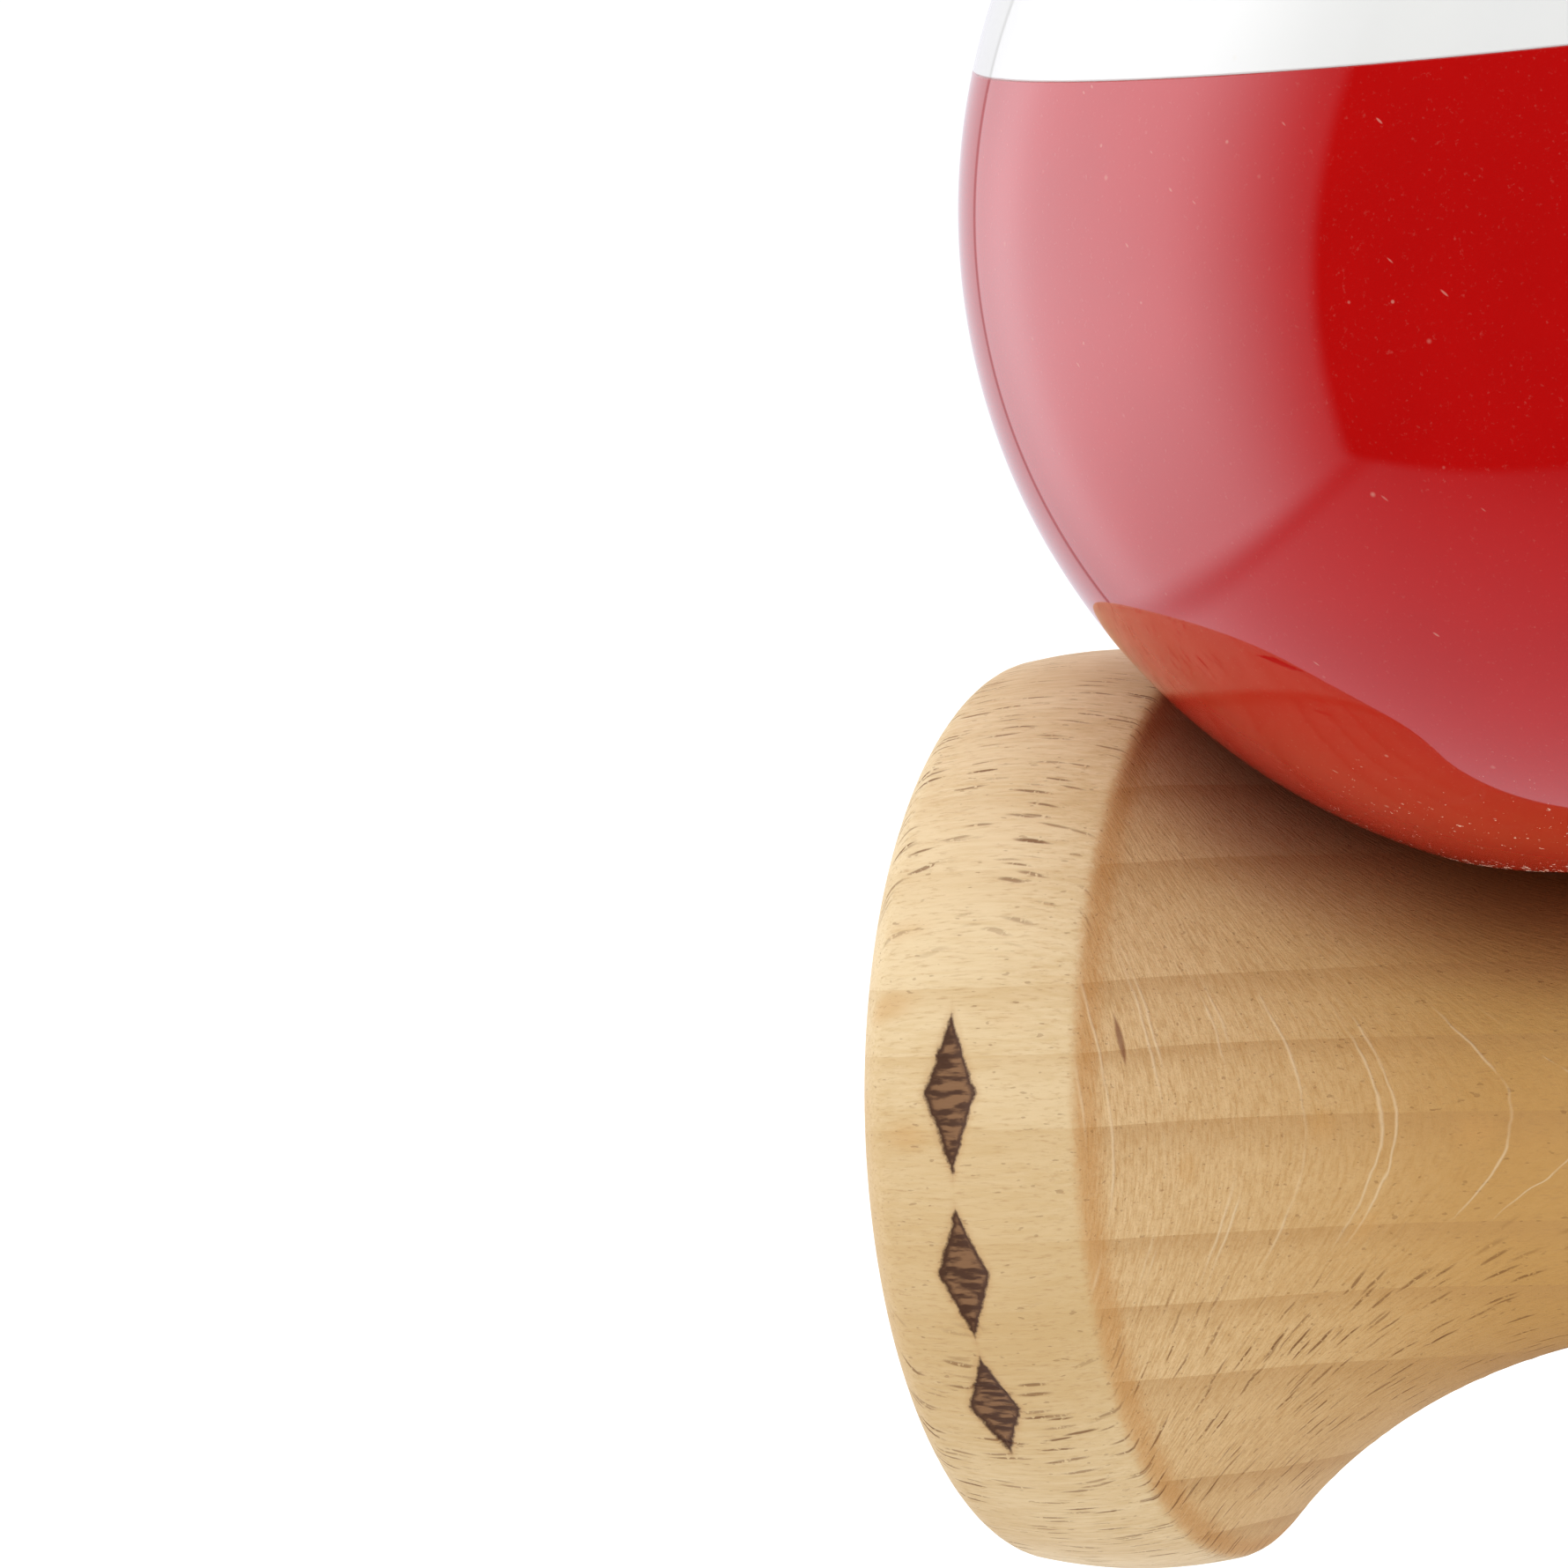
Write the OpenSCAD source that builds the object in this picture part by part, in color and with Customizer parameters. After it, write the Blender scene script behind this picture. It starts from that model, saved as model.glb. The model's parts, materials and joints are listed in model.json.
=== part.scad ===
// Kendama, a cup-and-ball toy, standing on its base cup with the ball on the spike.
// Millimetres. +Z runs up the handle, and the cross-piece lies along X with its big cup at -X.
// The origin is the middle of the base cup's rim, on the surface that the toy stands on.

/* [Ball] */
// Diameter over the lacquer
ball_d = 60; // [59:0.5:61]
// Thickness of the lacquer
coat_t = 0.25; // [0.2:0.05:0.4]
// Diameter of the hole that takes the spike
spike_hole_d = 22; // [20:0.5:23]
// Depth of that hole, from its mouth
spike_hole_depth = 45.5; // [45:0.5:47]
// Width of the bevel round the hole's mouth
mouth_bevel = 1; // [0.5:0.5:2]
// Diameter of the cord's hole through the ball's top
ball_cord_hole_d = 3; // [2:0.5:4]
// Height of the stripe's lower edge above the ball's centre
stripe_low = 9.5; // [8:0.1:11]
// Width of the stripe
stripe_w = 8; // [6:0.5:10]

/* [Cross-piece] */
// Length over both cups
cross_len = 68.6; // [68:0.2:70]
// Height of its axis above the base
cross_z = 114; // [110:0.5:116]
// Diameter at its waist
cross_waist_d = 21; // [20.5:0.5:22]
// Diameter of the big cup at its ridge
big_ridge_d = 42.4; // [41:0.2:43]
// Diameter of the small cup at its ridge
small_ridge_d = 37; // [35:0.5:38]
// Width of the band between a cup's ridge and its rim
cross_band_w = 11.1; // [10:0.1:12]
// Depth of the big cup
big_depth = 10.5; // [9:0.5:12]
// Depth of the small cup
small_depth = 9.5; // [8:0.5:11]
// Gap between the ball and the cross-piece
ball_gap = 0.35; // [0.3:0.05:0.6]
// Diameter of the cord's hole through the cross-piece and the handle
cord_hole_d = 2.8; // [2:0.2:3.2]

/* [Handle] */
// Length from the base cup's rim to the spike's tip
handle_len = 165; // [164:0.5:165.5]
// Diameter of the base cup at its ridge
base_ridge_d = 36.6; // [35:0.2:38]
// Height of the base cup's ridge
base_ridge_z = 10.5; // [9:0.5:12]
// Depth of the base cup
base_depth = 8.5; // [7:0.5:10]
// Diameter at the grip's waist
grip_waist_d = 17.2; // [16:0.2:18]
// Height of the grip's waist
grip_waist_z = 38; // [34:1:42]
// Diameter at the grip's belly
belly_d = 20.8; // [19:0.2:22]
// Height of the grip's belly
belly_z = 68; // [64:1:74]
// Diameter where the taper starts, below the cross-piece
taper_low_d = 12.6; // [12:0.2:13.6]
// Diameter at the spike's root, above the cross-piece
spike_root_d = 11.4; // [11:0.2:12]
// Diameter of the spike just below its rounded tip
spike_end_d = 6; // [5:0.2:7]

/* [String bead] */
// Diameter of the bead
bead_d = 8.4; // [8:0.2:9]
// Height between its flat ends
bead_h = 7; // [6:0.1:7]
// Diameter of its hole
bead_hole_d = 2.6; // [2:0.2:3]

/* [Hidden] */
$fn = 96;

BEECH = "#d9b27c";
RED = "#b80c0c";
WHITE = "#eef1f0";
RAW_BEECH = "#caa06a";

// How far a cutting solid runs past the faces that it opens
past = 1;
// Gap between two pieces that almost touch, such as the spike's tip and the bead
near = 0.3;
// Steps along a long curve and round a small corner
long_steps = 20;
short_steps = 8;

cross_waist_r = cross_waist_d / 2;
cross_end = cross_len / 2;
cross_ridge_t = cross_end - cross_band_w;
big_ridge_r = big_ridge_d / 2;
small_ridge_r = small_ridge_d / 2;

ball_r = ball_d / 2;
core_r = ball_r - coat_t;
ball_z = cross_z + big_ridge_r + sqrt((ball_r + ball_gap) ^ 2 - cross_ridge_t ^ 2);
hole_r = spike_hole_d / 2;
mouth_r = hole_r + mouth_bevel;
mouth_z = ball_z - sqrt(ball_r ^ 2 - mouth_r ^ 2);
hole_end_z = mouth_z + spike_hole_depth;
stripe_high = stripe_low + stripe_w;

// The taper runs past the cross-piece's waist by this much at each end
taper_margin = 2.5;
taper_low_z = cross_z - cross_waist_r - taper_margin;
taper_high_z = cross_z + cross_waist_r + taper_margin;

// Proportions of a cup: bulge of its band, flare of its rim, rounding along and across the rim,
// and the flat ring on the rim
band_bulge = 0.45;
rim_flare = 0.25;
big_round = [2.3, 4];
small_round = [2.1, 3.6];
base_round = [2, 3];
lip_flat = 0.8;

// Radius of a hollow curve that is level at its waist and reaches ridge_r at ridge_t
function cove_r(t, waist_r, ridge_r, ridge_t) =
    let (rise = ridge_r - waist_r)
    let (rho = (ridge_t ^ 2 + rise ^ 2) / (2 * rise))
    waist_r + rho - sqrt(rho ^ 2 - t ^ 2);

// Points [along, radius] from the waist, over the ridge, band and rim, to the bottom of the cup
function cup_outline(waist_r, ridge_r, ridge_t, end_t, rounding, depth) =
    let (rim_r = ridge_r + rim_flare)
    let (shoulder_t = end_t - rounding[0])
    let (mouth = rim_r - rounding[1] - lip_flat)
    let (dish_r = (mouth ^ 2 + depth ^ 2) / (2 * depth))
    let (dish_t = end_t - depth + dish_r)
    let (dish_angle = asin(mouth / dish_r))
    concat(
        [for (i = [0 : long_steps])
            let (t = ridge_t * i / long_steps)
            [t, cove_r(t, waist_r, ridge_r, ridge_t)]],
        [for (i = [1 : short_steps])
            let (s = i / short_steps)
            [ridge_t + (shoulder_t - ridge_t) * s, ridge_r + rim_flare * s + band_bulge * 4 * s * (1 - s)]],
        [for (i = [1 : short_steps])
            let (a = 90 * i / short_steps)
            [shoulder_t + rounding[0] * sin(a), rim_r - rounding[1] * (1 - cos(a))]],
        [for (i = [0 : long_steps])
            let (a = dish_angle * (1 - i / long_steps))
            [dish_t - dish_r * cos(a), dish_r * sin(a)]]
    );

// Points [along, radius] that swell or shrink smoothly between two levels
function swell(t0, r0, t1, r1) =
    [for (i = [1 : long_steps])
        let (s = i / long_steps)
        [t0 + (t1 - t0) * s, r0 + (r1 - r0) * (1 - cos(180 * s)) / 2]];

function turned(outline) = [for (p = outline) [p[1], p[0]]];
function flipped(outline) = [for (p = outline) [p[1], -p[0]]];
function backwards(list) = [for (i = [len(list) - 1 : -1 : 0]) list[i]];

// The handle's taper, which is also the cross-piece's hole
module taper(low_z, high_z) {
    slope = (spike_root_d - taper_low_d) / (taper_high_z - taper_low_z);
    low_d = taper_low_d + slope * (low_z - taper_low_z);
    high_d = taper_low_d + slope * (high_z - taper_low_z);
    translate([0, 0, low_z])
        cylinder(h = high_z - low_z, d1 = low_d, d2 = high_d);
}

// The cord's hole, from a depth behind the middle out through the front of the cross-piece
module cord_hole(behind) {
    translate([0, behind, cross_z])
        rotate([90, 0, 0])
            cylinder(h = behind + cross_waist_r + past, d = cord_hole_d);
}

// Turned handle: base cup, grip, neck, taper and spike in one piece of wood
module handle() {
    tip_r = spike_end_d / 2;
    cup = cup_outline(grip_waist_d / 2, base_ridge_d / 2, grip_waist_z - base_ridge_z,
        grip_waist_z, base_round, base_depth);
    base = [for (p = backwards(cup)) [grip_waist_z - p[0], p[1]]];
    outline = concat(
        base,
        swell(grip_waist_z, grip_waist_d / 2, belly_z, belly_d / 2),
        swell(belly_z, belly_d / 2, taper_low_z, taper_low_d / 2),
        [[taper_high_z, spike_root_d / 2]],
        [for (i = [0 : short_steps])
            let (a = 90 * i / short_steps)
            [handle_len - tip_r + tip_r * sin(a), tip_r * cos(a)]]
    );
    color(BEECH)
        difference() {
            rotate_extrude()
                polygon(turned(outline));
            cord_hole(taper_low_d / 2 + past);
        }
}

// Turned cross-piece, wedged on the handle's taper
module cross_piece() {
    big = cup_outline(cross_waist_r, big_ridge_r, cross_ridge_t, cross_end, big_round, big_depth);
    small = cup_outline(cross_waist_r, small_ridge_r, cross_ridge_t, cross_end, small_round, small_depth);
    outline = concat(backwards(flipped(small)), [for (i = [1 : len(big) - 1]) turned(big)[i]]);
    color(BEECH)
        difference() {
            translate([0, 0, cross_z])
                rotate([0, -90, 0])
                    rotate_extrude()
                        polygon(outline);
            taper(cross_z - cross_waist_r - past, cross_z + cross_waist_r + past);
            cord_hole(0);
        }
}

// The hole for the spike, with its bevelled mouth
module spike_hole() {
    translate([0, 0, mouth_z - past])
        cylinder(h = hole_end_z - mouth_z + past, r = hole_r);
    flare = mouth_bevel + mouth_z - ball_z + ball_r + past;
    translate([0, 0, ball_z - ball_r - past])
        cylinder(h = flare, r1 = hole_r + flare, r2 = hole_r);
}

module ball_cord_hole() {
    translate([0, 0, hole_end_z - past])
        cylinder(h = ball_z + ball_r - hole_end_z + 2 * past, d = ball_cord_hole_d);
}

// Turned beech ball, under its lacquer
module ball() {
    color(RAW_BEECH)
        difference() {
            translate([0, 0, ball_z])
                sphere(r = core_r);
            spike_hole();
            ball_cord_hole();
        }
}

// The lacquer between two heights above the ball's centre
module lacquer(low, high) {
    difference() {
        translate([0, 0, ball_z])
            intersection() {
                sphere(r = ball_r);
                translate([0, 0, low])
                    cylinder(h = high - low, r = ball_r + past);
            }
        translate([0, 0, ball_z])
            sphere(r = core_r);
        spike_hole();
        ball_cord_hole();
    }
}

module lower_lacquer() {
    color(RED)
        lacquer(-ball_r, stripe_low);
}

module stripe_lacquer() {
    color(WHITE)
        lacquer(stripe_low, stripe_high);
}

module upper_lacquer() {
    color(RED)
        lacquer(stripe_high, ball_r + past);
}

// Wooden bead at the end of the ball's hole: the cord's knot sits behind it and the ball turns round it
module string_bead() {
    color(RAW_BEECH)
        translate([0, 0, handle_len + near])
            difference() {
                intersection() {
                    translate([0, 0, bead_h / 2])
                        sphere(d = bead_d);
                    cylinder(h = bead_h, d = bead_d);
                }
                translate([0, 0, -past])
                    cylinder(h = bead_h + 2 * past, d = bead_hole_d);
            }
}

handle();
cross_piece();
ball();
lower_lacquer();
stripe_lacquer();
upper_lacquer();
string_bead();
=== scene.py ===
"""A wooden cup-and-ball toy: a turned handle and cross-piece in bare beech, and a lacquered ball."""
import json
import math
import random

import bpy
from mathutils import Matrix, Vector


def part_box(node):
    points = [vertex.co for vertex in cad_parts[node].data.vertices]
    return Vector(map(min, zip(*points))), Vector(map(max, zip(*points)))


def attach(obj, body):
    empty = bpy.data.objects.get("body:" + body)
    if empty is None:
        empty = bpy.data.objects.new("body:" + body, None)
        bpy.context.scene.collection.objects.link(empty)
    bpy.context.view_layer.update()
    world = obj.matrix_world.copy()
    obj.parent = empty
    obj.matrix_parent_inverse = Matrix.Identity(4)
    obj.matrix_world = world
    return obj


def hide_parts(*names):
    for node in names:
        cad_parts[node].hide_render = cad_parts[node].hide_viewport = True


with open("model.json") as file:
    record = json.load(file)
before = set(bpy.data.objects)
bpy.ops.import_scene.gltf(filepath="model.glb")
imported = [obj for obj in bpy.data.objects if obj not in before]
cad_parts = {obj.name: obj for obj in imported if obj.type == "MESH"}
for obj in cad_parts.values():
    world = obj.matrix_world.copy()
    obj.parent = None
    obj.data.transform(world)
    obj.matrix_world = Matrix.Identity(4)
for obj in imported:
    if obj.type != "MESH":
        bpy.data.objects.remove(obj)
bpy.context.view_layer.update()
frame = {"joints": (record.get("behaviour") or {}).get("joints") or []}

MM = 0.001

# ---------------------------------------------------------------- sizes, in millimetres

BALL_R = 30
COAT_T = 0.25
CORE_R = BALL_R - COAT_T
SPIKE_HOLE_R = 11
MOUTH_BEVEL = 1
SPIKE_HOLE_DEPTH = 45.5
BALL_CORD_HOLE_R = 1.5
BEAD_HOLE_R = 1.3
# How far the coats' edges and the end of the spike's hole are eased
COAT_EDGE = 0.06
HOLE_END_EASE = 0.5
# How much narrower the hole's mouth is in the core than over the lacquer
CORE_MOUTH_STEP = 0.12

# Every cup: the bulge of its band, the flare of its rim and the flat ring on the rim
CUP_BULGE = 0.45
CUP_FLARE = 0.25
LIP_FLAT = 0.8

CROSS_RIDGE_T = 23.2
CROSS_WAIST_R = 10.5
CORD_HOLE_R = 1.4
HOLE_EASE = 0.5
# How far the tapered hole's cut reaches each way, and the gap that it leaves round the handle
TAPER_CUT, TAPER_EASE = 14, 0.02
# Each cup's radius at its ridge, its rounding along and across the rim, and its depth
BIG_RIDGE_R, BIG_ROUND, BIG_DEPTH = 21.2, (2.3, 4.0), 10.5
SMALL_RIDGE_R, SMALL_ROUND, SMALL_DEPTH = 18.5, (2.1, 3.6), 9.5
BASE_RIDGE_R, BASE_ROUND, BASE_DEPTH = 18.3, (2, 3), 8.5

BASE_RIDGE_Z = 10.5
GRIP_WAIST_R, GRIP_WAIST_Z = 8.6, 38
BELLY_R, BELLY_Z = 10.4, 68
TAPER_LOW_R, SPIKE_ROOT_R, TIP_R = 6.3, 5.7, 3
TAPER_MARGIN = 2.5
# From the grip's waist down to the base cup's ridge
GRIP_RIDGE_T = GRIP_WAIST_Z - BASE_RIDGE_Z

# Where the frame puts things
joints = {joint["name"]: joint for joint in frame["joints"]}
ball_centre = Vector(joints["ball_spin"]["pos_m"]) / MM
stripe_low, stripe_high = (corner.z / MM - ball_centre.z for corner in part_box("stripe_lacquer"))
cross_low, cross_high = (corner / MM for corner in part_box("cross_piece"))
spike_tip_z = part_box("handle")[1].z / MM
bead_low, bead_high = (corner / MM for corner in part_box("string_bead"))
cross_z = (cross_low.z + cross_high.z) / 2
cross_end = cross_high.x
taper_low_z = cross_z - CROSS_WAIST_R - TAPER_MARGIN
taper_high_z = cross_z + CROSS_WAIST_R + TAPER_MARGIN


# ---------------------------------------------------------------- nodes, written as Python

class Field:
    """One socket of a node. Python's operators on it add Math nodes, so a pattern is an expression."""

    def __init__(self, sheet, socket):
        self.sheet = sheet
        self.socket = socket

    def out(self, name):
        """Another output of the same node."""
        return Field(self.sheet, self.socket.node.outputs[name])

    def __add__(self, other):
        return self.sheet.maths("ADD", self, other)

    def __sub__(self, other):
        return self.sheet.maths("SUBTRACT", self, other)

    def __rsub__(self, other):
        return self.sheet.maths("SUBTRACT", other, self)

    def __mul__(self, other):
        return self.sheet.maths("MULTIPLY", self, other)

    def __truediv__(self, other):
        return self.sheet.maths("DIVIDE", self, other)

    def __rtruediv__(self, other):
        return self.sheet.maths("DIVIDE", other, self)

    def __pow__(self, other):
        return self.sheet.maths("POWER", self, other)

    def __neg__(self):
        return self * -1

    def __abs__(self):
        return self.sheet.maths("ABSOLUTE", self)

    __radd__ = __add__
    __rmul__ = __mul__


class Sheet:
    """A node tree to write expressions in."""

    def __init__(self, tree):
        self.tree = tree

    def add(self, kind, settings=None, inputs=None):
        """Any node: its settings first, then its sockets' values or links. Gives its first output in use."""
        node = self.tree.nodes.new(kind)
        for name, value in (settings or {}).items():
            setattr(node, name, value)
        for key, value in (inputs or {}).items():
            usable = [socket for socket in node.inputs if socket.enabled]
            socket = node.inputs[key] if isinstance(key, int) else next(s for s in usable if s.name == key)
            if isinstance(value, Field):
                self.tree.links.new(value.socket, socket)
            else:
                socket.default_value = value
        return Field(self, next((s for s in node.outputs if s.enabled), None))

    def maths(self, operation, *values):
        return self.add("ShaderNodeMath", {"operation": operation}, dict(enumerate(values)))

    def step(self, value, low, high, to_low=0.0, to_high=1.0):
        """Eases from to_low to to_high as value goes from low to high."""
        span = {"Value": value, "From Min": low, "From Max": high, "To Min": to_low, "To Max": to_high}
        return self.add("ShaderNodeMapRange", {"interpolation_type": "SMOOTHSTEP"}, span)

    def mix(self, factor, one, other):
        """One colour, changing to the other as factor goes from 0 to 1."""
        return self.add("ShaderNodeMix", {"data_type": "RGBA"}, {"Factor": factor, "A": one, "B": other})

    def joined(self, x, y, z):
        return self.add("ShaderNodeCombineXYZ", None, {0: x, 1: y, 2: z})

    def split(self, vector):
        first = self.add("ShaderNodeSeparateXYZ", None, {0: vector})
        return [first, first.out("Y"), first.out("Z")]

    def noise(self, vector, scale, detail=2.0, rough=0.5, warp=0.0):
        sizes = {"Vector": vector, "Scale": scale, "Detail": detail, "Roughness": rough, "Distortion": warp}
        return self.add("ShaderNodeTexNoise", None, sizes)

    def cells(self, vector, feature="F1"):
        return self.add("ShaderNodeTexVoronoi", {"feature": feature}, {"Vector": vector, "Scale": 1.0})


def srgb(red, green, blue, light=1.0):
    """A colour as it shows in that much light, turned into the surface's own colour."""
    values = [((c / 255 + 0.055) / 1.055) ** 2.4 if c > 10 else c / 255 / 12.92 for c in (red, green, blue)]
    return (*[value / light for value in values], 1.0)


# ---------------------------------------------------------------- outlines: points (radius, along)

def spread(low, high, step):
    """Even steps from low to high, both included. Low may be the larger."""
    count = max(1, round(abs(high - low) / step))
    return [low + (high - low) * i / count for i in range(count + 1)]


def cup_outline(waist_r, ridge_r, ridge_t, end_t, rounding, depth, step=0.25):
    """From the waist, up the hollow side, over the ridge, band and rim, to the bottom of the cup."""
    rise = ridge_r - waist_r
    hollow_r = (ridge_t ** 2 + rise ** 2) / (2 * rise)
    rim_r = ridge_r + CUP_FLARE
    shoulder_t = end_t - rounding[0]
    mouth = rim_r - rounding[1] - LIP_FLAT
    dish_r = (mouth ** 2 + depth ** 2) / (2 * depth)
    dish_angle = math.asin(mouth / dish_r)
    points = [(waist_r + hollow_r - math.sqrt(hollow_r ** 2 - t ** 2), t) for t in spread(0, ridge_t, step)]
    for s in spread(0, 1, step / (shoulder_t - ridge_t))[1:]:
        bulge = CUP_BULGE * 4 * s * (1 - s)
        points.append((ridge_r + CUP_FLARE * s + bulge, ridge_t + (shoulder_t - ridge_t) * s))
    for a in spread(0, math.pi / 2, 0.12)[1:]:
        points.append((rim_r - rounding[1] * (1 - math.cos(a)), shoulder_t + rounding[0] * math.sin(a)))
    for a in spread(dish_angle, 0, 0.6 / dish_r):
        points.append((dish_r * math.sin(a), end_t - depth + dish_r - dish_r * math.cos(a)))
    return points


def swell(low, high, step):
    """A smooth change between two (radius, along) levels."""
    (r0, t0), (r1, t1) = low, high
    return [(r0 + (r1 - r0) * (1 - math.cos(math.pi * s)) / 2, t0 + (t1 - t0) * s)
            for s in spread(0, 1, step / (t1 - t0))]


def straight(low, high, share):
    """A straight line between two (radius, along) levels. Each step is this share of it."""
    (r0, t0), (r1, t1) = low, high
    return [(r0 + (r1 - r0) * s, t0 + (t1 - t0) * s) for s in spread(0, 1, share)]


def softened(points, reach):
    """Eases corners: a point moves halfway to its neighbours' middle, where they lie within reach."""
    moved = list(points)
    for i in range(1, len(points) - 1):
        (r0, t0), (r1, t1), (r2, t2) = points[i - 1:i + 2]
        if r1 > 0 and math.dist((r0, t0), (r2, t2)) < reach:
            moved[i] = ((r0 + 2 * r1 + r2) / 4, (t0 + 2 * t1 + t2) / 4)
    return moved


# How far a gouge's ridge spreads each way from its top
RIDGE_WIDTH = 0.12


def tool_ridges(ridges, t):
    """How strongly the gouge's ridges, each a (place, strength), stand up at t."""
    return sum(strength * math.exp(-((t - place) / RIDGE_WIDTH) ** 2) for place, strength in ridges)


# ---------------------------------------------------------------- turning, as geometry nodes

SHARP_ANGLE = math.radians(40)


def turning_tree():
    """Turns an outline, whose points are (radius, 0, along), into a closed solid round +Z."""
    tree = bpy.data.node_groups.new("Turning", "GeometryNodeTree")
    face = tree.interface
    face.new_socket("Geometry", in_out="INPUT", socket_type="NodeSocketGeometry")
    face.new_socket("Steps Round", in_out="INPUT", socket_type="NodeSocketInt")
    face.new_socket("Gather", in_out="INPUT", socket_type="NodeSocketFloat")
    face.new_socket("Gather Angle", in_out="INPUT", socket_type="NodeSocketFloat")
    face.new_socket("Wander", in_out="INPUT", socket_type="NodeSocketFloat")
    face.new_socket("Seed", in_out="INPUT", socket_type="NodeSocketFloat")
    face.new_socket("Finish", in_out="INPUT", socket_type="NodeSocketMaterial")
    face.new_socket("Geometry", in_out="OUTPUT", socket_type="NodeSocketGeometry")
    sheet = Sheet(tree)
    given = sheet.add("NodeGroupInput")
    size = sheet.add("GeometryNodeAttributeDomainSize", {"component": "MESH"}, {"Geometry": given})
    rows = size.out("Point Count")
    grid = sheet.add("GeometryNodeMeshGrid", None,
                     {"Vertices X": rows, "Vertices Y": given.out("Steps Round") + 1})
    along_uv, round_uv, _ = sheet.split(grid.out("UV Map"))
    row = sheet.add("FunctionNodeFloatToInt", {"rounding_mode": "ROUND"}, {0: along_uv * (rows - 1)})
    place = sheet.add("GeometryNodeInputPosition")
    point = sheet.add("GeometryNodeSampleIndex", {"data_type": "FLOAT_VECTOR", "domain": "POINT"},
                      {"Geometry": given, "Value": place, "Index": row})
    radius, _, along = sheet.split(point)
    turn = round_uv * math.tau
    lean = sheet.maths("SINE", turn - given.out("Gather Angle")) * given.out("Gather")
    angle = turn - lean
    across, up = sheet.maths("COSINE", angle), sheet.maths("SINE", angle)
    # Hand turning leaves the form a little uneven along its length
    sway = sheet.noise(sheet.joined(given.out("Seed"), 0.0, along), 140.0, 1.0) - 0.5
    true_radius = radius + sway * given.out("Wander") * sheet.step(radius, 0.0, 0.004)
    moved = sheet.add("GeometryNodeSetPosition", None, {
        "Geometry": grid,
        "Position": sheet.joined(true_radius * across, true_radius * up, along)})
    closed = sheet.add("GeometryNodeMergeByDistance", None, {"Geometry": moved, "Distance": 2e-6})
    smooth = sheet.add("GeometryNodeSetShadeSmooth", None, {"Geometry": closed})
    real = sheet.add("GeometryNodeRealizeInstances", None, {"Geometry": smooth})
    finished = sheet.add("GeometryNodeSetMaterial", None, {
        "Geometry": real, "Material": given.out("Finish")})
    sheet.add("NodeGroupOutput", None, {0: finished})
    return tree


def settled(piece):
    """Makes the piece's modifiers final, so that its mesh is plain."""
    graph = bpy.context.evaluated_depsgraph_get()
    final = piece.evaluated_get(graph)
    mesh = bpy.data.meshes.new_from_object(final, preserve_all_data_layers=True, depsgraph=graph)
    piece.modifiers.clear()
    piece.data = mesh
    return mesh


def grown(piece, tree, **values):
    """Runs a geometry node tree on the piece. Its named inputs are given with _ for each space."""
    modifier = piece.modifiers.new(tree.name, "NODES")
    modifier.node_group = tree
    for item in tree.interface.items_tree:
        key = item.name.replace(" ", "_").lower()
        if item.in_out == "INPUT" and key in values:
            modifier[item.identifier] = values[key]
    return settled(piece)


def new_piece(name, points):
    """A piece that is only points, for a node tree to build on."""
    mesh = bpy.data.meshes.new(name)
    mesh.from_pydata(points, [], [])
    piece = bpy.data.objects.new(name, mesh)
    bpy.context.scene.collection.objects.link(piece)
    return piece


def outward(mesh):
    """Turns the faces out, if the mesh's signed volume says that they point in."""
    mesh.calc_loop_triangles()
    volume = 0.0
    for triangle in mesh.loop_triangles:
        a, b, c = (mesh.vertices[i].co for i in triangle.vertices)
        volume += a.dot(b.cross(c))
    if volume < 0:
        mesh.flip_normals()


def turned_piece(name, outline, place, finish, steps=192, ridges=(), ridge_height=0.0,
                 gather=(0.0, 0.0), wander=0.0):
    """A turned solid. The outline is in millimetres round +Z, and place moves it to where it belongs.

    gather is how strongly its steps crowd towards an angle, and that angle."""
    lifted = [(r + ridge_height * tool_ridges(ridges, t), t) for r, t in outline]
    piece = new_piece(name, [(r * MM, 0, t * MM) for r, t in lifted])
    grown(piece, TURNING, steps_round=steps, gather=gather[0], gather_angle=gather[1], wander=wander * MM,
          seed=float(len(name)), finish=finish)
    piece.data.transform(place)
    outward(piece.data)
    piece.data.set_sharp_from_angle(angle=SHARP_ANGLE)
    return piece


def cut(piece, cutter):
    """Cuts the cutter's shape out of the piece, and removes the cutter."""
    modifier = piece.modifiers.new("cut", "BOOLEAN")
    modifier.operation = "DIFFERENCE"
    modifier.solver = "EXACT"
    modifier.object = cutter
    settled(piece)
    bpy.data.objects.remove(cutter)
    piece.data.set_sharp_from_angle(angle=SHARP_ANGLE)


# ---------------------------------------------------------------- burnt marks on the big cup's band

# Each mark's angle up from the front, in degrees, and half its length round the band
MARKS = [(16.6, 3.7), (-5.0, 3.15), (-23.3, 2.9)]
MARK_X = -28.9
MARK_HALF_WIDTH = 1.3
# The bands' radii on the big cup and the base cup
BAND_R, BASE_BAND_R = 21.75, 18.5
BURN_DEPTH = 0.16


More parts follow.
